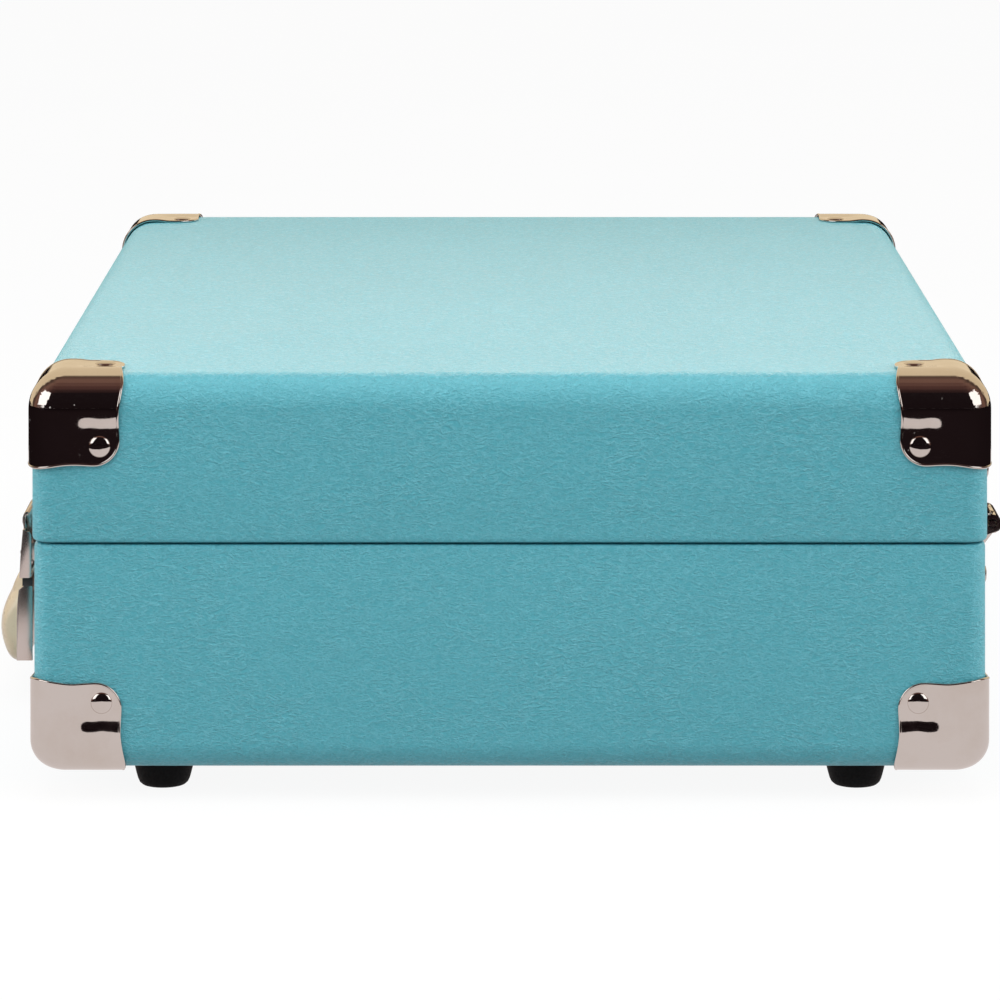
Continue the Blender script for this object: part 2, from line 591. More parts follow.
# ------------------------------------------------------------------ corner protectors
def corner_protector(half_x, half_y, r_roll, z_flat, direction):
    """A pressed shell over the corner at +X, +Y and the flat face: lobed outline, rolled bright lip,
    a shallow dish round each of its three domed rivets."""
    outer = GAP + PLATE_T
    rings = roll(half_x, half_y, r_roll, z_flat, direction, outer, 16)
    rings.append(rounded(half_x + outer, half_y + outer, EDGE_R + outer, z_flat - direction * 60))
    bm = loft(rings)
    tidy(bm)
    solid = to_mesh(bm)
    reach = REACH
    size = reach + 6
    bm = bmesh.new()
    bmesh.ops.create_cube(bm, size=size * MM)
    centre = Vector((half_x - reach + size / 2, CASE_Y + half_y - reach + size / 2, z_flat - direction * (reach - size / 2))) * MM
    bmesh.ops.translate(bm, vec=centre, verts=bm.verts)
    inner = Vector((half_x - reach, CASE_Y + half_y - reach, z_flat - direction * reach)) * MM
    near = min(bm.verts, key=lambda v: (v.co - inner).length)
    bmesh.ops.bevel(bm, geom=list(near.link_edges), offset=7.2 * MM, segments=10, profile=0.5, affect="EDGES")
    bmesh.ops.recalc_face_normals(bm, faces=bm.faces)
    cutter = to_mesh(bm)
    for mesh in (solid, cutter):
        mesh.materials.clear()
        mesh.materials.append(MATS["chrome"])
        mesh.materials.append(MATS["steel"])
    for polygon in cutter.polygons:
        polygon.material_index = 1
    tool = bpy.data.objects.new("cutter", cutter)
    scene.collection.objects.link(tool)
    cut = evaluated(solid, ("BOOLEAN", {"operation": "INTERSECT", "solver": "EXACT", "object": tool}))
    bpy.data.objects.remove(tool, do_unlink=True)
    bm = joined(cut)
    bmesh.ops.delete(bm, geom=[f for f in bm.faces if f.material_index == 1], context="FACES")
    bmesh.ops.remove_doubles(bm, verts=bm.verts, dist=2e-6)
    for axis in range(3):
        for k in range(1, 39):
            p = k * 0.65
            normal, point = [0, 0, 0], [0, 0, 0]
            normal[axis] = 1
            point[axis] = [half_x - p, CASE_Y + half_y - p, z_flat - direction * p][axis] * MM
            bmesh.ops.bisect_plane(bm, geom=bm.verts[:] + bm.edges[:] + bm.faces[:], plane_co=point, plane_no=normal, dist=1e-7)

    def inward(co):
        return [half_x - co.x / MM, CASE_Y + half_y - co.y / MM, direction * (z_flat - co.z / MM)]

    signs = (-1, -1, -direction)
    shifts = []
    for v in bm.verts:
        p = inward(v.co)
        spot = Vector(p)
        ripple = 0.040 * noise.noise(spot / 6.5 + Vector((3.1, 7.7, 1.3))) + 0.012 * noise.noise(spot / 2.4)
        drift = 0.35 * noise.noise(spot / 4.5 + Vector((9.2, 0.4, 5.5)))
        moved = v.co.copy()
        for axis in range(3):
            others = [p[i] for i in range(3) if i != axis]
            far = max(0.0, min(1.0, (p[axis] - 11) / (reach - 11)))
            edge = max(others)
            wave = math.exp(-((edge / 6.5) ** 2)) - 0.45 * math.exp(-(((edge - 11) / 5.0) ** 2))
            moved[axis] += signs[axis] * 0.85 * MM * wave * far * far
        for axis in range(3):
            face_axis_p = p[axis]
            if face_axis_p < -outer + 0.3:
                others = [p[i] for i in range(3) if i != axis]
                step = 1.0
                for q in others:
                    u = max(0.0, min(1.0, (q + drift - (RIVET_AT - 9.2)) / 5.2))
                    step *= u * u * (3 - 2 * u)
                moved[axis] += signs[axis] * (0.42 * step + ripple) * MM
        shifts.append((v, moved))
    for v, moved in shifts:
        v.co = moved
    bmesh.ops.recalc_face_normals(bm, faces=bm.faces)
    out_way = Vector((half_x, CASE_Y + half_y, z_flat)) * MM
    middle = sum((f.calc_center_median() for f in bm.faces), Vector()) / len(bm.faces)
    test = max(bm.faces, key=lambda f: f.calc_center_median().x)
    if test.normal.x < 0:
        bmesh.ops.reverse_faces(bm, faces=bm.faces)
    rim_edges = [e for e in bm.edges if len(e.link_faces) == 1]
    follow = {}
    for e in rim_edges:
        for v in e.verts:
            follow.setdefault(v, []).append(e.other_vert(v))
    start = rim_edges[0].verts[0]
    path, previous, current = [start], None, start
    while True:
        options = [v for v in follow[current] if v is not previous]
        nxt = options[0]
        if nxt is start or len(path) > 4000:
            break
        path.append(nxt)
        previous, current = current, nxt
    inset = [(v.co - v.normal * 0.32 * MM) / MM for v in path]
    spaced = [inset[0]]
    for q in inset[1:]:
        if (q - spaced[-1]).length > 0.25:
            spaced.append(q)
    if (spaced[0] - spaced[-1]).length < 0.25:
        spaced.pop()
    lip = sweep(spaced, 0.46, 10, closed=True)
    sheet = evaluated(to_mesh(bm), ("SOLIDIFY", {"thickness": PLATE_T * 0.85 * MM, "offset": -1.0, "use_even_offset": True}))
    rivet = [(0, 0.72), (0.7, 0.70), (1.4, 0.62), (2.1, 0.46), (2.6, 0.27), (2.95, 0.02), (3.05, -0.22), (3.0, -0.6), (0, -0.6)]
    face = outer - 0.36
    rivets = [
        lathe(rivet, at(half_x + face, CASE_Y + half_y - RIVET_AT, z_flat - direction * RIVET_AT, "X"), 40),
        lathe(rivet, at(half_x - RIVET_AT, CASE_Y + half_y + face, z_flat - direction * RIVET_AT, "Y"), 40),
        lathe(rivet, at(half_x - RIVET_AT, CASE_Y + half_y - RIVET_AT, z_flat + direction * face, "Z" if direction > 0 else "-Z"), 40),
    ]
    for mesh in (sheet, lip, *rivets):
        mesh.materials.clear()
        for polygon in mesh.polygons:
            polygon.material_index = 0
    return to_mesh(joined(sheet, lip, *rivets))


lid_corner = corner_protector(LX, LY, LID_ROLL, LID_TOP, 1)
base_corner = corner_protector(BX, BY, BASE_ROLL, BASE_LOW, -1)
for side, sx in (("left", -1), ("right", 1)):
    for end, sy in (("front", -1), ("rear", 1)):
        for level, mesh in (("lid", lid_corner), ("base", base_corner)):
            piece(f"{level}_protector_{end}_{side}", [mirrored(mesh, sx, sy)], "chrome", level, [f"{level}_corner_{end}_{side}"], smooth=50)

# ------------------------------------------------------------------ feet
for side, sx in (("left", -1), ("right", 1)):
    for end, sy in (("front", -1), ("rear", 1)):
        lo, hi = mmbox(f"foot_{end}_{side}")
        cx, cy = (lo[0] + hi[0]) / 2, (lo[1] + hi[1]) / 2
        profile = [(0, 8.65), (8.8, 8.65), (8.75, 8.0), (8.3, 5.4), (7.75, 3.2), (7.35, 1.8), (6.9, 0.85), (6.2, 0.25), (5.2, 0.0), (3.4, 0.0), (3.2, 0.5), (3.1, 2.4), (0, 2.4)]
        foot = lathe(profile, at(cx, cy, 0), 48)
        piece(f"rubber_foot_{end}_{side}", [foot], "rubber", "base", [f"foot_{end}_{side}"])
        piece(f"foot_screw_{end}_{side}", [screw_head(at(cx, cy, 2.5, "-Z"), 2.5, 0.9)], "steel", "base")

# ------------------------------------------------------------------ carrying handle
PIVOT_Y, PIVOT_Z = FRONT - 6.8, 48.0
front_side = [(12.6, 38.4), (14.7, 38.2), (17.3, 35.4), (19.7, 31.4), (21.4, 27.2), (21.8, 23.0), (21.3, 19.4), (20.2, 15.6), (18.6, 12.6)]
back_side = [(16.0, 11.6), (13.6, 12.6), (12.0, 16.0), (11.4, 21.0), (11.2, 26.0), (11.2, 31.0), (11.2, 35.6)]
section = front_side + back_side
mid_out, mid_z = 16.6, 25.0
rings = []
for k in (-1.0, -0.992, -0.965, -0.92, -0.85, -0.72, -0.5, -0.25, 0.0, 0.25, 0.5, 0.72, 0.85, 0.92, 0.965, 0.992, 1.0):
    e = abs(k)
    grow = 1.0 if e < 0.85 else math.sqrt(max(0.0, 1 - ((e - 0.85) / 0.15) ** 2)) * 0.72 + 0.28
    waist = 1.0 - 0.05 * math.cos(math.pi * min(1, e / 0.85)) * 0.5
    rings.append([(k * 58.5, FRONT - (mid_out + (o - mid_out) * (0.35 + 0.65 * grow)), mid_z + (z - mid_z) * grow * waist) for o, z in section])
bm = loft(rings)
tidy(bm)
grip = evaluated(to_mesh(bm), ("SUBSURF", {"levels": 2, "render_levels": 2}))
parts = [grip]
for s in (-1, 1):
    mid = s * 54.25
    path = [(s * 50.5, FRONT - 15.0, 28.0), (s * 51.8, FRONT - 14.2, 33.0), (s * 53.2, FRONT - 12.6, 37.4), (mid, FRONT - 10.9, 41.0), (mid, FRONT - 9.2, 44.2), (mid, FRONT - 7.8, 46.6), (mid, PIVOT_Y, PIVOT_Z)]
    parts.append(evaluated(sweep(path, [4.6, 4.5, 4.1, 3.7, 3.6, 3.6, 3.6], 16), ("SUBSURF", {"levels": 1, "render_levels": 1})))
    eye = [(2.25, -4.25), (4.0, -4.25), (4.45, -3.9), (4.6, -3.2), (4.6, 3.2), (4.45, 3.9), (4.0, 4.25), (2.25, 4.25)]
    parts.append(lathe(eye, at(mid, PIVOT_Y, PIVOT_Z, "X"), 40))
piece("carry_handle", parts, "cream_plastic", "handle", ["handle_grip"], smooth=50)

# ------------------------------------------------------------------ draw latches
def body_of(node):
    return NODES[node].parent.name.split(":", 1)[1]


def prism_x(outline, x0, x1, bevel=0.12):
    """A (y, z) outline in mm between two X planes, edges softened."""
    bm = bmesh.new()
    a = [bm.verts.new((x0 * MM, y * MM, z * MM)) for y, z in outline]
    b = [bm.verts.new((x1 * MM, y * MM, z * MM)) for y, z in outline]
    n = len(outline)
    for i in range(n):
        bm.faces.new((a[i], a[(i + 1) % n], b[(i + 1) % n], b[i]))
    bm.faces.new(a)
    bm.faces.new(b)
    bmesh.ops.recalc_face_normals(bm, faces=bm.faces)
    mesh = to_mesh(bm)
    return evaluated(mesh, ("BEVEL", {"width": bevel * MM, "segments": 2, "limit_method": "ANGLE", "angle_limit": math.radians(35)}))


def sheet_line(points, thickness):
    """The outline of a bent sheet whose outer line is given; it thickens towards +Y (or inward)."""
    inner = []
    for i, (y, z) in enumerate(points):
        before = points[max(0, i - 1)]
        after = points[min(len(points) - 1, i + 1)]
        t = Vector((after[0] - before[0], after[1] - before[1])).normalized()
        inner.append((y + t.y * thickness, z - t.x * thickness))
    return points + inner[::-1]


PY, PZ, TY, TZ = FRONT - 3.8, 65.7, FRONT - 3.4, 57.7
BF = base_lo[1]
for side, s in (("left", -1), ("right", 1)):
    cx = s * 143.0
    back = BF - 0.35
    parts = [block((cx - 12.4, back - 0.8, 36.0), (cx + 12.4, back, 69.4), 0.15, 2)]
    for e in (-1, 1):
        ear = [(back - 0.3, 62.6), (back - 0.3, 69.0)] + [(PY + 1.35 * math.cos(math.radians(180 - a)), PZ + 1.35 * math.sin(math.radians(180 - a))) for a in (95, 60, 30, 0, -30, -60, -95)]
        x0, x1 = sorted((cx + e * 10.6, cx + e * 11.4))
        parts.append(prism_x(ear, x0, x1, 0.1))
        parts.append(lathe([(0, 0), (0.7, 0), (0.7, 1.85), (0, 1.85)], at(cx + e * 11.0, PY, PZ, "X" if e > 0 else "-X"), 20))
    piece(f"latch_base_{side}", parts, "nickel", body_of(f"latch_plate_{side}"), [f"latch_plate_{side}"])

    outer = [(FRONT - 5.6, 54.6), (FRONT - 5.95, 51.0), (FRONT - 6.1, 47.0), (FRONT - 6.1, 41.0), (FRONT - 6.1, 36.6), (FRONT - 6.1, 35.2)]
    parts = [prism_x([(y, z) for y, z in outer] + [(y + 0.8, z) for y, z in outer[::-1]], cx - 12.6, cx + 12.6, 0.14)]
    flange = [(FRONT - 1.6, 35.2), (FRONT - 1.6, 56.2), (FRONT - 3.4, 57.0), (FRONT - 5.55, 55.2)] + outer[1:]
    for e in (-1, 1):
        x0, x1 = sorted((cx + e * 12.1, cx + e * 13.0))
        parts.append(prism_x(flange, x0, x1, 0.14))
        arm = [(FRONT - 2.4, 50.0), (FRONT - 2.4, PZ)] + [(PY + 1.4 * math.cos(math.radians(a)), PZ + 1.4 * math.sin(math.radians(a))) for a in (0, 30, 60, 90, 120, 150, 180, 210)] + [(FRONT - 4.2, 62.0), (FRONT - 4.2, 50.0)]
        x0, x1 = sorted((cx + e * 11.5, cx + e * 12.15))
        parts.append(prism_x(arm, x0, x1, 0.08))
    for e in (-1, 1):
        x0, x1 = sorted((cx + e * 11.5, cx + e * 13.05))
        piece(f"latch_spacer_{side}_{'a' if e < 0 else 'b'}", [prism_x([(FRONT - 1.7, 56.3), (FRONT - 1.7, 58.5), (FRONT - 4.5, 58.5), (FRONT - 4.5, 56.3)], x0, x1, 0.1)], "black_plastic", body_of(f"latch_lever_{side}"))
    piece(f"latch_handle_{side}", parts, "nickel", body_of(f"latch_lever_{side}"), [f"latch_lever_{side}"])

    hook = [(-5.3, 58.7), (-5.15, 61.5), (-5.0, 64.3), (-4.7, 68.0), (-4.35, 71.2), (-4.45, 72.6), (-4.75, 73.8), (-4.75, 75.0), (-4.4, 76.1), (-3.85, 76.7), (-3.3, 76.8), (-2.8, 76.4)]
    line = [(FRONT + y, z) for y, z in hook]
    outline = sheet_line(line, 0.85)
    parts = [prism_x(outline, cx - 10.0, cx + 10.0, 0.12)]
    parts.append(prism_x(sheet_line([line[0], line[1]], 0.85), cx - 13.6, cx + 13.6, 0.1))
    parts.append(prism_x(sheet_line([(FRONT - 4.55, 69.6), (FRONT - 4.35, 71.5), (FRONT - 4.38, 72.3)], 0.85), cx - 13.6, cx + 13.6, 0.1))
    wing = [(FRONT - 1.9, 59.2), (FRONT - 1.9, 71.0), (FRONT - 2.5, 71.9), (FRONT - 4.35, 72.0)] + [(FRONT - 4.7, 68.0), (FRONT - 5.0, 64.3), (FRONT - 5.15, 61.5), (FRONT - 5.25, 59.2), (FRONT - 4.9, 58.7), (FRONT - 2.4, 58.7)]
    for e in (-1, 1):
        x0, x1 = sorted((cx + e * 13.05, cx + e * 13.65))
        parts.append(prism_x(wing, x0, x1, 0.1))
        x0, x1 = sorted((cx + e * 9.0, cx + e * 9.9))
        lug = [(TY - 1.0, 58.9), (TY - 1.9, 60.5), (TY + 0.2, 60.5)] + [(TY + 1.2 * math.cos(math.radians(a)), TZ + 1.2 * math.sin(math.radians(a))) for a in (45, 10, -30, -70, -110, -150, -190)]
        parts.append(prism_x(lug, x0, x1, 0.06))
    parts.append(lathe([(0, 0), (0.8, 0), (0.8, 25.6), (0, 25.6)], at(cx - 12.8, TY, TZ, "X"), 20))
    piece(f"latch_hook_{side}", parts, "nickel", body_of(f"latch_tongue_{side}"), [f"latch_tongue_{side}"])

# ------------------------------------------------------------------ turned and bent parts: the CAD shape, shaded round, edges broken
for node_name in (
    "tonearm_tube", "tonearm_yoke", "tonearm_base", "tonearm_rest", "cue_lever", "headphone_jack",
    "hinge_pin_left", "hinge_pin_right", "hinge_base_leaf_left", "hinge_base_leaf_right",
    "hinge_lid_leaf_left", "hinge_lid_leaf_right", "handle_bracket_left", "handle_bracket_right",
):
    shape = NODES[node_name].data.copy()
    shape.transform(NODES[node_name].matrix_world)
    shape = evaluated(shape, ("BEVEL", {"width": 0.00018, "segments": 2, "limit_method": "ANGLE", "angle_limit": math.radians(40)}))
    piece(f"{node_name}_shape", [shape], SLOTS[node_name], body_of(node_name), [node_name], smooth=28,
          material=MATS["chrome"] if node_name.startswith("hinge") else None)

# ------------------------------------------------------------------ softened edges on the pressed and moulded CAD parts
for node_name, node in NODES.items():
    if node.hide_render:
        continue
    if any(k in node_name for k in ("latch", "hinge", "bracket", "rear_panel", "tonearm", "headshell", "cartridge", "cue", "selector", "switch", "rest", "clip")):
        mod = node.modifiers.new("soft_edges", "BEVEL")
        mod.width, mod.segments, mod.limit_method, mod.angle_limit = 0.00018, 2, "ANGLE", math.radians(40)
        mod.harden_normals = False

# ------------------------------------------------------------------ screws and small fixings
for side, s in (("left", -1), ("right", 1)):
    for dx in (-4.6, 4.6):
        piece(f"hinge_screw_base_{side}_{'a' if dx < 0 else 'b'}", [screw_head(at(s * 139.5 + dx, BACK + 1.75, 57.5, "Y"), 2.7, 0.9, 0.3 + dx)], "nickel", "base")
        piece(f"hinge_screw_lid_{side}_{'a' if dx < 0 else 'b'}", [screw_head(at(s * 139.5 + dx, BACK + 2.35, 87.5, "Y"), 2.7, 0.9, 0.9 + dx)], "nickel", "lid")
    for z in (40.6, 55.4):
        piece(f"bracket_screw_{side}_{int(z)}", [screw_head(at(s * 53, FRONT + 0.5 - 0.35 - 1.9, z, "-Y"), 2.2, 0.8, z)], "nickel", "base")
    ky, kz = FRONT - GAP, LID_LOW - 0.3
    keeper = [(ky, kz + 0.8), (ky, kz + 15), (ky - 0.6, kz + 15), (ky - 0.9, kz + 14.6), (ky - 0.9, kz + 3.0), (ky - 1.35, kz + 2.0), (ky - 1.35, kz + 0.8)]
    parts = [prism_x(keeper, s * 143 - 11, s * 143 + 11, 0.12)]
    for dx in (-6.5, 6.5):
        parts.append(lathe([(0, 0.55), (0.9, 0.5), (1.6, 0.3), (2.0, 0.0), (2.0, -0.2), (0, -0.2)], at(s * 143 + dx, ky - 0.9, kz + 9, "-Y"), 28))
    piece(f"catch_{side}", parts, "nickel", "lid", [f"latch_catch_{side}"])

# ------------------------------------------------------------------ rear panel details
PANEL_Y = (mmbox("rear_panel")[0][1]) + 1.4
for name, x, slot_name in (("left", -20, "red_plastic"), ("right", -4, "cream_plastic")):
    ring = [(4.4, 0.0), (5.9, 0.0), (5.9, 0.5), (5.6, 0.8), (4.7, 0.8), (4.4, 0.5)]
    piece(f"phono_ring_{name}", [lathe(ring, at(x, PANEL_Y, 34, "Y"), 36)], slot_name, "base")
    piece(f"phono_contact_{name}", [lathe([(1.5, 0.2), (2.1, 0.2), (2.1, 4.0), (1.5, 4.0)], at(x, PANEL_Y, 34, "Y"), 24)], "brass", "base")
piece("power_pin", [lathe([(0, 2.0), (0.7, 1.8), (0.9, 1.2), (0.9, 0.2), (0, 0.2)], at(18, PANEL_Y, 34, "Y"), 20)], "steel", "base")
for i, (x, z) in enumerate(((-30, 43), (30, 43), (-30, 25), (30, 25))):
    piece(f"panel_screw_{i + 1}", [screw_head(at(x, PANEL_Y, z, "Y"), 1.9, 0.7, i)], "steel", "base")

# ------------------------------------------------------------------ turntable
spin_lo, spin_hi = mmbox("platter")
SX, SY = (spin_lo[0] + spin_hi[0]) / 2, (spin_lo[1] + spin_hi[1]) / 2
MAT_TOP = mmbox("platter_mat")[1][2]
disc = MAT_TOP - 2.35
profile = [(4.0, disc), (93.0, disc), (93.4, disc + 0.3), (94.3, disc + 0.25), (94.85, disc - 0.2), (95.0, disc - 0.9), (95.0, 70.5), (94.7, 69.9), (94.0, 69.8), (92.0, 69.8), (92.0, disc - 2.6), (60, disc - 2.6), (60, 69.8), (57, 69.8), (57, disc - 2.6), (14, disc - 2.6), (12, 70.4), (4, 70.4)]
parts = [lathe(profile, at(SX, SY), 160)]
for i in range(90):
    a = 2 * math.pi * i / 90
    dot = block((-0.35, -0.75, 72.6), (0.55, 0.75, 74.1), 0.18, 1)
    dot.transform(at(SX, SY) @ Matrix.Rotation(a, 4, "Z") @ Matrix.Translation((94.7 * MM, 0, 0)))
    parts.append(dot)
piece("platter_disc", parts, "aluminium", "platter", ["platter"])
profile = [(4.0, MAT_TOP - 2.0), (4.0, MAT_TOP - 0.2), (4.3, MAT_TOP)]
r = 8.0
while r < 88:
    profile += [(r, MAT_TOP), (r + 0.5, MAT_TOP - 0.35), (r + 1.1, MAT_TOP - 0.35), (r + 1.6, MAT_TOP)]
    r += 4.0 if 24 < r < 84 else 8.0
profile += [(92.2, MAT_TOP), (92.8, MAT_TOP - 0.25), (93.0, MAT_TOP - 0.7), (93.0, MAT_TOP - 2.0)]
piece("slip_mat", [lathe(profile, at(SX, SY), 128)], "felt", "platter", ["platter_mat"], smooth=60)
piece("spindle_pin", [lathe([(0, 92.4), (0.9, 92.3), (1.7, 91.8), (2.6, 90.9), (3.2, 89.8), (3.6, 88.0), (3.6, 69.4), (3.0, 69.0), (3.0, 51.0), (0, 50.4)], at(SX, SY), 40)], "steel", "platter", ["spindle"])
ring = [(96.6, DECK_TOP + 0.02), (99.2, DECK_TOP + 0.02), (99.2, DECK_TOP + 0.5), (98.6, DECK_TOP + 1.0), (97.3, DECK_TOP + 1.0), (96.6, DECK_TOP + 0.5)]
piece("platter_trim_ring", [lathe(ring, at(SX, SY), 160)], "chrome", "base")

# ------------------------------------------------------------------ speaker grilles: domed, perforated
for side, s in (("left", -1), ("right", 1)):
    gx, gy = s * 140.0, CASE_Y - 91.0
    holes = []
    for i in range(-8, 9):
        for j in range(-9, 10):
            hx = i * 2.7 + (1.35 if j % 2 else 0)
            hy = j * 2.34
            if math.hypot(hx, hy) < 19.2:
                holes.append(circle(gx + hx, gy + hy, 0.85, 8))
    mesh = plate(circle(gx, gy, 22.2, 72), DECK_TOP + 0.5, DECK_TOP + 1.2, holes)
    bm = joined(mesh)
    for v in bm.verts:
        r = math.hypot(v.co.x / MM - gx, v.co.y / MM - gy)
        v.co.z += 0.85 * MM * (1 - min(1, r / 22.0) ** 2)
    rim = lathe([(21.4, DECK_TOP + 0.35), (24.0, DECK_TOP + 0.35), (24.0, DECK_TOP + 0.9), (23.6, DECK_TOP + 1.6), (22.6, DECK_TOP + 1.95), (21.7, DECK_TOP + 1.6), (21.4, DECK_TOP + 1.0)], at(gx, gy), 80)
    piece(f"grille_{side}", [to_mesh(bm), rim], "aluminium", "base", [f"speaker_grille_{side}"])

# ------------------------------------------------------------------ tonearm dressing
AX, AY, AZ = 100.0, CASE_Y + 82.0, 90.0
groove = []
for k in range(6):
    z = 13.0 + k * 2.1
    groove += [(7.2, z), (7.2, z + 1.4), (6.7, z + 1.55), (6.7, z + 1.95)]
weight = [(0, 12.6), (6.6, 12.6)] + groove + [(7.2, 25.6), (6.6, 26.2), (0, 26.2)]
piece("counterweight_sleeve", [lathe(weight, at(AX, AY, AZ, "Y"), 48)], "steel", "tonearm")
collar = [(3.3, 0), (4.3, 0), (4.5, 0.4), (4.5, 5.6), (4.3, 6.0), (3.3, 6.0)]
piece("headshell_collar", [lathe(collar, at(AX, AY - 166.5, AZ, "Y"), 36)], "chrome", "tonearm")
gimbal = [(11.3, DECK_TOP + 5.2), (12.4, DECK_TOP + 5.2), (12.4, DECK_TOP + 10.6), (11.9, DECK_TOP + 11.0), (11.3, DECK_TOP + 11.0)]
piece("tonearm_base_band", [lathe(gimbal, at(AX, AY), 56)], "chrome", "base")
for x in (-3.4, 3.4):
    piece(f"headshell_screw_{'a' if x < 0 else 'b'}", [screw_head(at(AX + x, AY - 182.0, AZ + 1.4), 1.3, 0.6, x)], "steel", "tonearm")

# ------------------------------------------------------------------ deck controls
KX, KY = 152.0, CASE_Y - 22.0
ridges = 40
bm = bmesh.new()
rows = []
for r, z, depth in ((9.6, DECK_TOP + 0.35, 0.0), (9.6, DECK_TOP + 1.6, 0.0), (9.25, DECK_TOP + 2.0, 0.3), (8.95, 77.0, 0.3), (8.5, 77.7, 0.12), (8.0, 78.0, 0.0)):
    rows.append([
        bm.verts.new(((KX + (r - depth * (k % 4 > 1)) * math.cos(2 * math.pi * k / (ridges * 4))) * MM, (KY + (r - depth * (k % 4 > 1)) * math.sin(2 * math.pi * k / (ridges * 4))) * MM, z * MM))
        for k in range(ridges * 4)
    ])
for a, b in zip(rows, rows[1:]):
    for k in range(len(a)):
        m = (k + 1) % len(a)
        bm.faces.new((a[k], a[m], b[m], b[k]))
bm.faces.new(rows[0])
bm.faces.new(rows[-1])
tidy(bm)
piece("volume_knob_body", [to_mesh(bm)], "black_plastic", "volume_knob", ["volume_knob"])
piece("volume_knob_cap", [lathe([(0, 78.35), (6.4, 78.35), (7.0, 78.1), (7.0, 77.8), (0, 77.8)], at(KX, KY), 56)], "aluminium", "volume_knob")
piece("volume_pointer", [block((KX - 0.5, KY + 2.2, 78.2), (KX + 0.5, KY + 6.4, 78.6), 0.12, 2)], "black_plastic", "volume_knob")
marks = []
for k in range(11):
    a = math.radians(240 - 30 * k)
    tick = block((11.3, -0.22, DECK_TOP + 0.02), (13.0 if k % 5 else 13.8, 0.22, DECK_TOP + 0.16), 0.04, 1)
    tick.transform(at(KX, KY) @ Matrix.Rotation(a, 4, "Z"))
    marks.append(tick)
piece("volume_scale", marks, "cream_plastic", "base")


def numbers(name, text, x, y, size, turn=0.0):
    curve = bpy.data.curves.new(name, "FONT")
    curve.body, curve.size, curve.extrude = text, size * MM, 0.05 * MM
    curve.align_x = curve.align_y = "CENTER"
    mesh = evaluated(curve)
    mesh.transform(at(x, y, DECK_TOP + 0.08) @ Matrix.Rotation(turn, 4, "Z"))
    return piece(name, [mesh], "cream_plastic", "base", smooth=0)


speed_y = AY - 2.0
slot_frame = plate([(146.4, speed_y - 14.5), (157.6, speed_y - 14.5), (157.6, speed_y + 14.5), (146.4, speed_y + 14.5)], DECK_TOP + 0.02, DECK_TOP + 0.30, [[(148.2, speed_y - 12.8), (155.8, speed_y - 12.8), (155.8, speed_y + 12.8), (148.2, speed_y + 12.8)]])
piece("speed_slot_trim", [slot_frame], "chrome", "base", smooth=30)
for name, text, dy in (("speed_number_33", "33", -8), ("speed_number_45", "45", 0), ("speed_number_78", "78", 8)):
    numbers(name, text, 142.6, speed_y + dy, 4.4)
auto_y = AY - 40.0
auto_frame = plate([(147.4, auto_y - 5.0), (156.6, auto_y - 5.0), (156.6, auto_y + 9.0), (147.4, auto_y + 9.0)], DECK_TOP + 0.02, DECK_TOP + 0.26, [[(148.6, auto_y - 3.9), (155.4, auto_y - 3.9), (155.4, auto_y + 7.9), (148.6, auto_y + 7.9)]])
piece("auto_stop_trim", [auto_frame], "chrome", "base", smooth=30)
deck_lo, deck_hi = mmbox("deck_plate")
for i, (x, y) in enumerate(((deck_lo[0] + 8, deck_lo[1] + 8), (deck_hi[0] - 8, deck_lo[1] + 8), (deck_lo[0] + 8, deck_hi[1] - 8), (deck_hi[0] - 8, deck_hi[1] - 8), (30, deck_lo[1] + 8), (30, deck_hi[1] - 8))):
    piece(f"deck_screw_{i + 1}", [screw_head(at(x, y, DECK_TOP + 0.3), 2.6, 0.9, i * 0.7)], "nickel", "base")
adapter = [(3.7, DECK_TOP + 0.35), (3.7, 70.4), (4.1, 70.8), (7.0, 71.3), (9.0, 71.3), (9.4, 70.9), (13.4, 70.9), (13.8, 71.8), (17.4, 71.8), (18.4, 71.3), (18.9, 70.4), (18.9, DECK_TOP + 0.9), (18.5, DECK_TOP + 0.35)]
piece("adapter_disc", [lathe(adapter, at(-138.0, CASE_Y + 93.0), 80)], "aluminium", "adapter_45", ["adapter_45"])

# ------------------------------------------------------------------ lid lining: cloth panel with a piped edge
lin_lo, lin_hi = mmbox("lid_lining")
cord = [(x, y, lin_lo[2] + 1.0) for x, y, _ in rounded(LX - LID_WALL - 1.6, LY - LID_WALL - 1.6, 3.0, 0, 8, 40)]
piece("lining_piping", [sweep(cord, 0.85, 10, closed=True)], "lining", "lid")
wall = []
for z, inset in ((LID_LOW + 0.9, 0.12), (LID_LOW + 1.4, 0.42), (lin_lo[2] + 0.8, 0.42)):
    wall.append(rounded(LX - LID_WALL - inset, LY - LID_WALL - inset, 3.0, z))
for z, inset in ((lin_lo[2] + 0.8, 0.08), (LID_LOW + 0.9, 0.08)):
    wall.append(rounded(LX - LID_WALL - inset, LY - LID_WALL - inset, 3.0, z))
bm = loft(wall, (False, False))
tidy(bm)
piece("lid_wall_lining", [to_mesh(bm)], "lining", "lid")


# ------------------------------------------------------------------ stage, lights, camera
def stage_plane(name, size, z, material):
    bm = bmesh.new()
    bmesh.ops.create_grid(bm, x_segments=1, y_segments=1, size=size / 2)
    bmesh.ops.translate(bm, vec=(0, 0, z), verts=bm.verts)
    mesh = bpy.data.meshes.new(name)
    bm.to_mesh(mesh)
    bm.free()
    mesh.materials.append(material)
    obj = bpy.data.objects.new(name, mesh)
    scene.collection.objects.link(obj)
    return obj


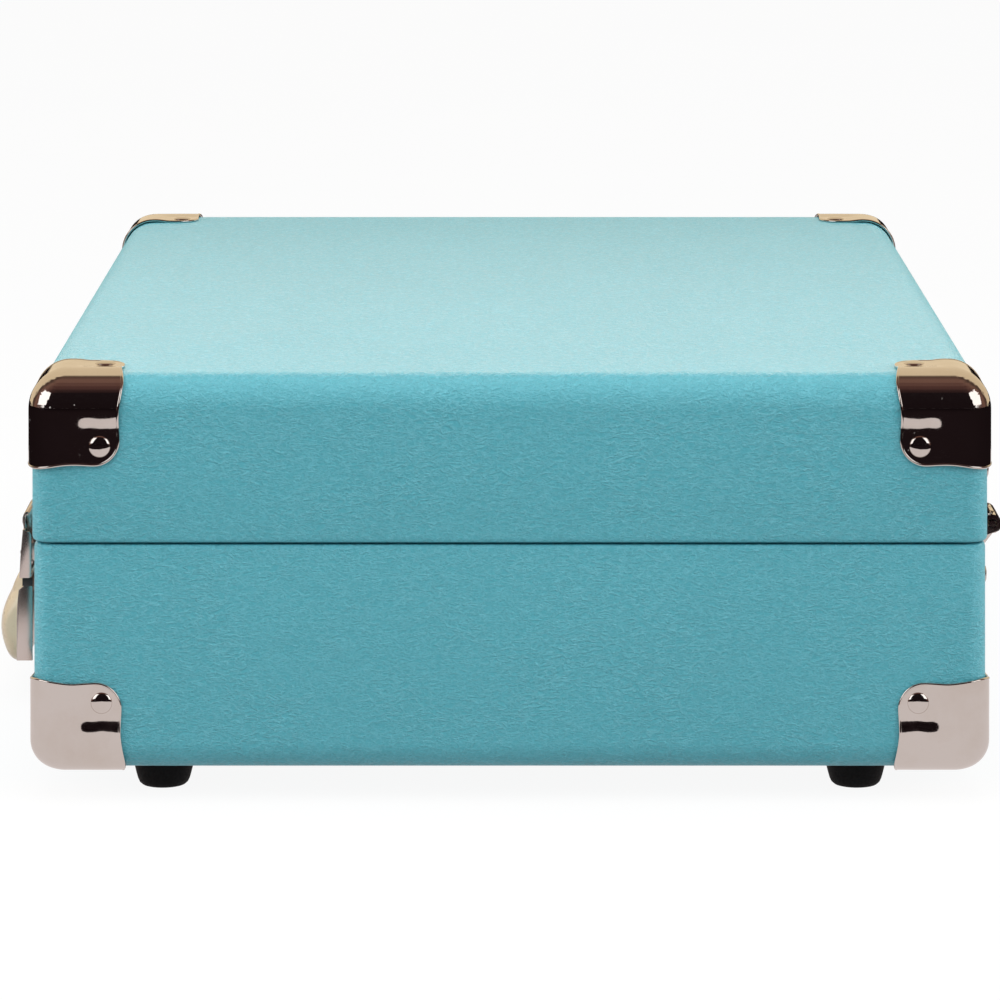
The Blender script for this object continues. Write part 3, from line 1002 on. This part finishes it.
# The floor is pale with a slight mottle. It also glows a little towards the camera, so that the shadow
# under the case stays faint.
floor_mat, floor_tree, floor_shader = new_material("floor")
mottle = noise_tex(floor_tree, coords(floor_tree), 3, 3)
floor_tree.links.new(grey(floor_tree, mottle, 0.3, 0.57, 0.7, 0.61), floor_shader.inputs["Base Color"])
floor_shader.inputs["Roughness"].default_value = 0.9
paths = floor_tree.nodes.new("ShaderNodeLightPath")
glow = floor_tree.nodes.new("ShaderNodeEmission")
glow.inputs["Color"].default_value = (1, 1, 1, 1)
glow.inputs["Strength"].default_value = 1.0
blend = floor_tree.nodes.new("ShaderNodeMixShader")
floor_tree.links.new(maths(floor_tree, "MAXIMUM", maths(floor_tree, "MULTIPLY", paths.outputs["Is Camera Ray"], 0.86), paths.outputs["Is Glossy Ray"]), blend.inputs[0])
floor_tree.links.new(mix_colour(floor_tree, paths.outputs["Is Glossy Ray"], (1.07, 1.07, 1.07), (0.80, 0.73, 0.72)), glow.inputs["Color"])
floor_tree.links.new(floor_shader.outputs[0], blend.inputs[1])
floor_tree.links.new(glow.outputs[0], blend.inputs[2])
floor_out = next(n for n in floor_tree.nodes if n.type == "OUTPUT_MATERIAL")
floor_tree.links.new(blend.outputs[0], floor_out.inputs[0])
stage_plane("floor", 30, -0.0002, floor_mat)

# Studio surroundings: white to the camera, and to reflections a dark room with a warm backdrop behind
# the case and a bright ceiling.
world = bpy.data.worlds.new("studio")
scene.world = world
world.use_nodes = True
wt = world.node_tree
wt.nodes.clear()
w_out = wt.nodes.new("ShaderNodeOutputWorld")
direction = wt.nodes.new("ShaderNodeTexCoord").outputs["Generated"]
split = wt.nodes.new("ShaderNodeSeparateXYZ")
wt.links.new(direction, split.inputs[0])
DARK, BROWN, TAN = (0.012, 0.007, 0.008), (0.22, 0.115, 0.085), (0.86, 0.69, 0.46)
behind = maths(wt, "MULTIPLY_ADD", split.outputs[0], -0.5)
behind.node.inputs[2].default_value = 0.5
room = ramp(wt, behind, [(0.0, DARK), (0.14, DARK), (0.30, (0.10, 0.045, 0.038)), (0.50, BROWN), (0.60, (0.10, 0.06, 0.045)), (0.645, (0.10, 0.06, 0.045)), (0.70, TAN), (1.0, TAN)])
ray = wt.nodes.new("ShaderNodeLightPath")
show = wt.nodes.new("ShaderNodeBackground")
show.inputs["Color"].default_value = (1, 1, 1, 1)
show.inputs["Strength"].default_value = 1.0
soft = wt.nodes.new("ShaderNodeBackground")
soft.inputs["Color"].default_value = (1.0, 0.99, 0.98, 1)
wt.links.new(grey(wt, split.outputs[2], 0.0, 0.07, 0.7, 0.64), soft.inputs["Strength"])
mirror = wt.nodes.new("ShaderNodeBackground")
mirror.inputs["Strength"].default_value = 1.0
wt.links.new(room, mirror.inputs["Color"])
pick = wt.nodes.new("ShaderNodeMixShader")
wt.links.new(ray.outputs["Is Glossy Ray"], pick.inputs[0])
wt.links.new(soft.outputs[0], pick.inputs[1])
wt.links.new(mirror.outputs[0], pick.inputs[2])
last = wt.nodes.new("ShaderNodeMixShader")
wt.links.new(ray.outputs["Is Camera Ray"], last.inputs[0])
wt.links.new(pick.outputs[0], last.inputs[1])
wt.links.new(show.outputs[0], last.inputs[2])
wt.links.new(last.outputs[0], w_out.inputs[0])


# A dark ring lies on the floor beyond the case, seen only in reflections, as a black card would be.
def ring_card(name, inner, outer, z, colour):
    mat, tree, shader = new_material(name)
    shader.inputs["Base Color"].default_value = (*colour, 1)
    shader.inputs["Roughness"].default_value = 1.0
    shader.inputs["Specular IOR Level"].default_value = 0.0
    bm = bmesh.new()
    n = 96
    a = [bm.verts.new(((inner + LX * MM) * math.cos(2 * math.pi * i / n), (inner + LY * MM) * math.sin(2 * math.pi * i / n) + CASE_Y * MM, z)) for i in range(n)]
    b = [bm.verts.new((outer * math.cos(2 * math.pi * i / n), outer * math.sin(2 * math.pi * i / n), z)) for i in range(n)]
    for i in range(n):
        j = (i + 1) % n
        bm.faces.new((a[i], b[i], b[j], a[j]))
    mesh = bpy.data.meshes.new(name)
    bm.to_mesh(mesh)
    bm.free()
    mesh.materials.append(mat)
    obj = bpy.data.objects.new(name, mesh)
    scene.collection.objects.link(obj)
    obj.visible_camera = obj.visible_diffuse = obj.visible_shadow = obj.visible_transmission = False
    return obj


ring_card("floor_card", 0.33, 14.5, 0.0006, (0.012, 0.007, 0.008))


def area(name, at_, target, size, power, colour=(1, 1, 1), glossy=True, diffuse=True):
    data = bpy.data.lights.new(name, "AREA")
    data.shape = "RECTANGLE"
    data.size, data.size_y = size
    data.energy = power
    data.color = colour
    obj = bpy.data.objects.new(name, data)
    obj.location = at_
    obj.rotation_euler = (Vector(target) - Vector(at_)).to_track_quat("-Z", "Y").to_euler()
    obj.visible_glossy, obj.visible_diffuse = glossy, diffuse
    obj.visible_camera = False
    scene.collection.objects.link(obj)
    return obj


area("overhead", (0.50, 0.0, 1.00), (0.02, 0, 0.1), (0.9, 1.1), 6.3, (1.0, 0.985, 0.965), glossy=False)
for tag, y in (("left", -1.6), ("right", 1.6)):
    area(f"softbox_{tag}", (1.25, y, 1.12), (0.1, 0, 0.1), (1.6, 1.6), 13)
# Lights for the covering only: a long low strip behind the case for the grazing shine on the
# top, tipped up so that its far end gets less, one above for the soft highlight along the rolled edge,
# and one each side for the paler rounded upright edges.
covering = bpy.data.collections.new("covering")
for shell in ("base_shell", "lid_shell"):
    covering.objects.link(bpy.data.objects[shell])
sheen = area("sheen_strip", (-0.52, 0.0, 0.38), (0.08, 0.0, 0.78), (1.9, 0.3), 6.3, (1.0, 0.93, 0.90), diffuse=False)
gloss = area("roll_gloss", (0.25, 0.0, 0.85), (0.17, 0.0, 0.1), (1.2, 0.6), 5.0, (1.0, 0.98, 0.96), diffuse=False)
side_fills = [area(f"side_fill_{tag}", (0.0, y, 0.2), (0.0, 0.0, 0.08), (0.34, 0.5), 6.0, (1.0, 0.96, 0.94)) for tag, y in (("left", -1.25), ("right", 1.25))]
for light in (sheen, gloss, *side_fills):
    light.light_linking.receiver_collection = covering

cam_data = bpy.data.cameras.new("camera")
cam = bpy.data.objects.new("camera", cam_data)
scene.collection.objects.link(cam)
CAM = Vector((LX * MM + 1.31676, (CASE_Y - 1.34) * MM, 0.33244))
cam.location = CAM
cam.rotation_euler = (math.radians(90), 0, math.radians(90))
cam_data.sensor_width = 36
cam_data.lens = 36 * 4728.85 / 1000
cam_data.clip_start, cam_data.clip_end = 0.05, 60
# The camera is level, as in the picture, and its lens is shifted down. The shift belongs to this
# place only, so it goes away when the camera is moved round the object.
for prop, value in (("shift_x", -0.005), ("shift_y", -0.8893)):
    curve = cam_data.driver_add(prop)
    drv = curve.driver
    drv.type = "SCRIPTED"
    for var_name, path in (("cx", "location[0]"), ("cy", "location[1]"), ("cz", "location[2]")):
        var = drv.variables.new()
        var.name = var_name
        var.type = "SINGLE_PROP"
        var.targets[0].id = cam
        var.targets[0].data_path = path
    drv.expression = f"{value} if abs(cx - {CAM.x:.5f}) + abs(cy - {CAM.y:.5f}) + abs(cz - {CAM.z:.5f}) < 0.001 else 0.0"
scene.camera = cam
scene.view_settings.view_transform = "Standard"
